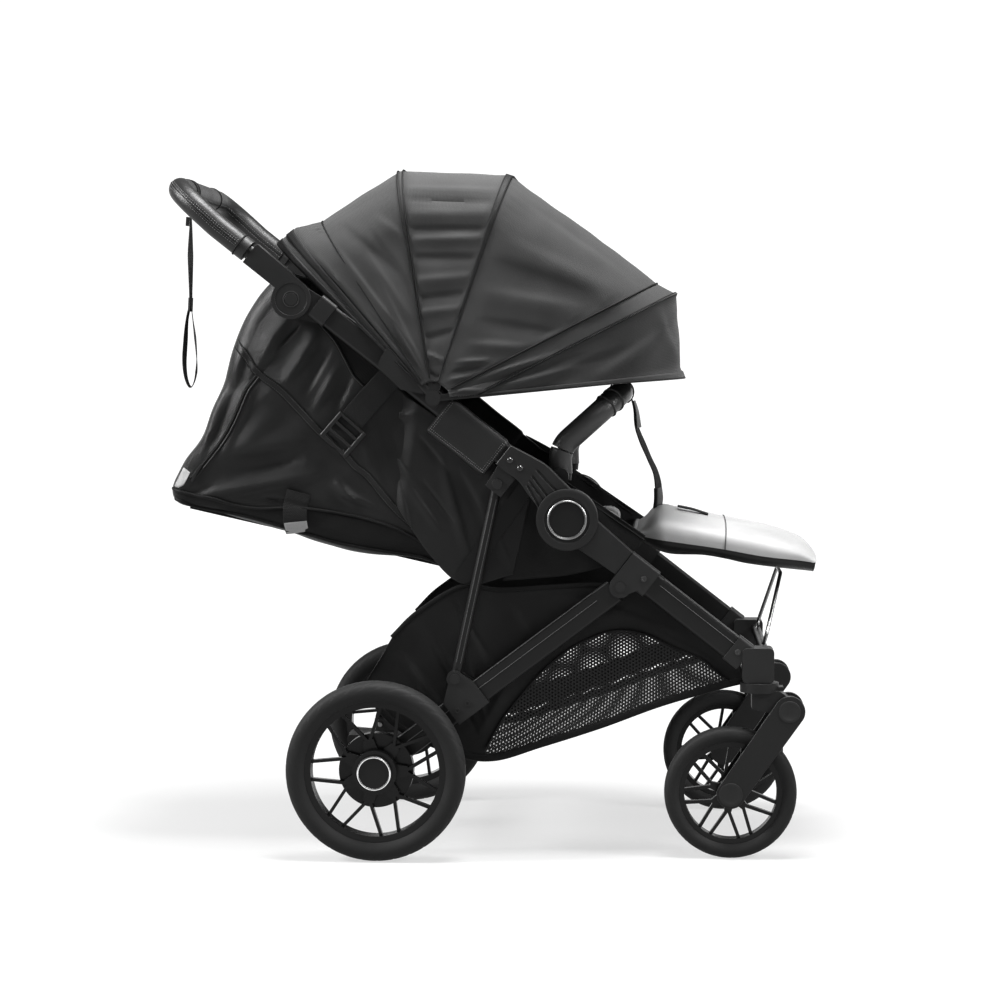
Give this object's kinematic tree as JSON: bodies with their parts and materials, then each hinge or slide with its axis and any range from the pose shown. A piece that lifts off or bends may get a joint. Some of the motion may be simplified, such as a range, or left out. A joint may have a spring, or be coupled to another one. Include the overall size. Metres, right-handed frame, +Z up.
{
  "type": "pushchair",
  "caption": "Folding four-wheel pushchair with reclining seat, extending hood, tilting handle, swivelling sprung front wheels and basket.",
  "frame": {"origin": "middle of the whole pushchair's footprint box, on the floor", "axes": "+X forward, +Y to the pushchair's left, +Z up"},
  "size_m": [1.0316, 0.6, 1.075],
  "materials": {
    "frame_coat": "satin",
    "moulded_plastic": "satin",
    "cloth": "matte",
    "leathercloth": "satin",
    "grey_leathercloth": "satin",
    "bare_steel": "satin",
    "tyre_rubber": "matte"
  },
  "bodies": {
    "front_frame": {"hub_housings": "moulded_plastic", "leg_junctions": "moulded_plastic", "front_leg_tubes": "frame_coat", "caster_housings": "moulded_plastic", "frame_screws": "bare_steel", "front_cross_tube": "frame_coat", "seat_frame": "frame_coat", "seat_pad": "cloth", "storage_basket": "cloth"},
    "upper_frame": {"upper_tubes": "frame_coat", "hub_covers": "moulded_plastic", "strut_clevises": "moulded_plastic", "side_wraps": "leathercloth", "hood_brackets": "moulded_plastic", "handle_hinge_lowers": "moulded_plastic", "seat_side_brackets": "frame_coat", "seat_side_panels": "cloth", "recline_straps": "cloth", "hood_bow_rear": "frame_coat", "hood_panel_rear": "cloth"},
    "handle": {"handle_tube": "frame_coat", "handle_grip": "leathercloth", "handle_hinge_uppers": "moulded_plastic", "wrist_strap": "cloth"},
    "button_right": {"handle_button_right": "moulded_plastic"},
    "button_left": {"handle_button_left": "moulded_plastic"},
    "rear_frame": {"rear_leg_tubes": "frame_coat", "rear_brackets": "moulded_plastic", "rear_axle": "frame_coat"},
    "struts": {"rear_struts": "frame_coat"},
    "brake_lever": {"brake_pedal": "moulded_plastic"},
    "brake_bolt_right": {"brake_pin_right": "bare_steel"},
    "brake_bolt_left": {"brake_pin_left": "bare_steel"},
    "bumper": {"bumper_bar": "leathercloth", "crotch_strap": "cloth"},
    "hood_middle": {"hood_bow_middle": "frame_coat", "hood_panel_middle": "cloth"},
    "hood_front": {"hood_bow_front": "frame_coat", "hood_panel_front": "cloth"},
    "hood_peak": {"hood_visor_frame": "frame_coat", "hood_visor": "cloth"},
    "backrest": {"backrest_board": "moulded_plastic", "backrest_pad": "cloth", "seat_back_shell": "cloth"},
    "leg_rest": {"leg_rest_pad": "grey_leathercloth"},
    "prop": {"leg_rest_prop": "frame_coat"},
    "rear_wheel_right": {"rear_rim_right": "moulded_plastic", "rear_tyre_right": "tyre_rubber", "rear_cap_right": "moulded_plastic"},
    "caster_right": {"caster_crown_right": "moulded_plastic"},
    "fork_right": {"caster_fork_right": "moulded_plastic"},
    "front_wheel_right": {"front_rim_right": "moulded_plastic", "front_tyre_right": "tyre_rubber"},
    "rear_wheel_left": {"rear_rim_left": "moulded_plastic", "rear_tyre_left": "tyre_rubber", "rear_cap_left": "moulded_plastic"},
    "caster_left": {"caster_crown_left": "moulded_plastic"},
    "fork_left": {"caster_fork_left": "moulded_plastic"},
    "front_wheel_left": {"front_rim_left": "moulded_plastic", "front_tyre_left": "tyre_rubber"}
  },
  "joints": [
    {"name": "frame_fold", "type": "hinge", "parent": "front_frame", "child": "upper_frame", "pos_m": [0.116, 0, 0.529], "axis": [0, -1, 0], "range_deg": [0, 90], "deforming": ["storage_basket", "seat_side_panels"]},
    {"name": "rear_leg_fold", "type": "hinge", "parent": "front_frame", "child": "rear_frame", "pos_m": [0.19802, 0, 0.42398], "axis": [0, -1, 0], "range_deg": [0, 56]},
    {"name": "strut_fold", "type": "hinge", "parent": "upper_frame", "child": "struts", "pos_m": [0.00721, 0, 0.58332], "axis": [0, -1, 0], "range_deg": [-56.6, 0]},
    {"name": "handle_tilt", "type": "hinge", "parent": "upper_frame", "child": "handle", "pos_m": [-0.31307, 0, 0.86908], "axis": [0, -1, 0], "range_deg": [-15, 75], "deforming": ["wrist_strap"]},
    {"name": "brake_pedal_press", "type": "hinge", "parent": "rear_frame", "child": "brake_lever", "pos_m": [-0.179, 0, 0.14], "axis": [0, -1, 0], "range_deg": [0, 15]},
    {"name": "backrest_recline", "type": "hinge", "parent": "upper_frame", "child": "backrest", "pos_m": [-0.045, 0, 0.44], "axis": [0, 1, 0], "range_deg": [0, 48], "deforming": ["seat_back_shell", "recline_straps"]},
    {"name": "leg_rest_tilt", "type": "hinge", "parent": "front_frame", "child": "leg_rest", "pos_m": [0.222, 0, 0.497], "axis": [0, 1, 0], "range_deg": [0, 25]},
    {"name": "prop_fold", "type": "hinge", "parent": "leg_rest", "child": "prop", "pos_m": [0.45327, 0, 0.4326], "axis": [0, 1, 0], "range_deg": [0, 65]},
    {"name": "bumper_swing", "type": "hinge", "parent": "upper_frame", "child": "bumper", "pos_m": [0.10399, 0, 0.59402], "axis": [0, 1, 0], "range_deg": [0, 60], "deforming": ["crotch_strap"]},
    {"name": "hood_fold", "type": "hinge", "parent": "upper_frame", "child": "hood_middle", "pos_m": [-0.092, 0, 0.71606], "axis": [0, -1, 0], "range_deg": [0, 22], "deforming": ["hood_panel_rear", "hood_panel_middle"]},
    {"name": "hood_front_fold", "type": "hinge", "parent": "hood_middle", "child": "hood_front", "pos_m": [-0.092, 0, 0.71606], "axis": [0, -1, 0], "range_deg": [0, 19], "deforming": ["hood_panel_front"]},
    {"name": "hood_peak_fold", "type": "hinge", "parent": "hood_front", "child": "hood_peak", "pos_m": [-0.092, 0, 0.71606], "axis": [0, -1, 0], "range_deg": [0, 36], "deforming": ["hood_visor"]},
    {"name": "handle_button_right_press", "type": "slide", "parent": "handle", "child": "button_right", "axis": [0, -1, 0], "range_m": [0, 0.004], "stiffness_N_per_m": 300, "springref_m": -0.003},
    {"name": "brake_bolt_right_slide", "type": "slide", "parent": "rear_frame", "child": "brake_bolt_right", "axis": [0, -1, 0], "range_m": [0, 0.008]},
    {"name": "rear_wheel_right_spin", "type": "hinge", "parent": "rear_frame", "child": "rear_wheel_right", "pos_m": [-0.179, -0.272, 0.14], "axis": [0, 1, 0], "continuous": true},
    {"name": "caster_right_swivel", "type": "hinge", "parent": "front_frame", "child": "caster_right", "pos_m": [0.414, -0.215, 0.27], "axis": [0, 0, 1], "continuous": true},
    {"name": "fork_right_spring", "type": "hinge", "parent": "caster_right", "child": "fork_right", "pos_m": [0.46, -0.215, 0.233], "axis": [0, 1, 0], "range_deg": [0, 5], "stiffness_Nm_per_rad": 80, "springref_deg": -4.58},
    {"name": "front_wheel_right_spin", "type": "hinge", "parent": "fork_right", "child": "front_wheel_right", "pos_m": [0.37, -0.215, 0.103], "axis": [0, 1, 0], "continuous": true},
    {"name": "handle_button_left_press", "type": "slide", "parent": "handle", "child": "button_left", "axis": [0, 1, 0], "range_m": [0, 0.004], "stiffness_N_per_m": 300, "springref_m": -0.003},
    {"name": "brake_bolt_left_slide", "type": "slide", "parent": "rear_frame", "child": "brake_bolt_left", "axis": [0, 1, 0], "range_m": [0, 0.008]},
    {"name": "rear_wheel_left_spin", "type": "hinge", "parent": "rear_frame", "child": "rear_wheel_left", "pos_m": [-0.179, 0.272, 0.14], "axis": [0, 1, 0], "continuous": true},
    {"name": "caster_left_swivel", "type": "hinge", "parent": "front_frame", "child": "caster_left", "pos_m": [0.414, 0.215, 0.27], "axis": [0, 0, 1], "continuous": true},
    {"name": "fork_left_spring", "type": "hinge", "parent": "caster_left", "child": "fork_left", "pos_m": [0.46, 0.215, 0.233], "axis": [0, 1, 0], "range_deg": [0, 5], "stiffness_Nm_per_rad": 80, "springref_deg": -4.58},
    {"name": "front_wheel_left_spin", "type": "hinge", "parent": "fork_left", "child": "front_wheel_left", "pos_m": [0.37, 0.215, 0.103], "axis": [0, 1, 0], "continuous": true}
  ],
  "couplings": [
    {"joint": "rear_leg_fold", "follows": "frame_fold", "ratio": 0.62193},
    {"joint": "strut_fold", "follows": "frame_fold", "ratio": -0.62798},
    {"joint": "hood_front_fold", "follows": "hood_fold", "ratio": 0.85},
    {"joint": "hood_peak_fold", "follows": "hood_fold", "ratio": 1.6},
    {"joint": "brake_bolt_right_slide", "follows": "brake_pedal_press", "m_per_rad": 0.0305},
    {"joint": "brake_bolt_left_slide", "follows": "brake_pedal_press", "m_per_rad": 0.0305}
  ]
}
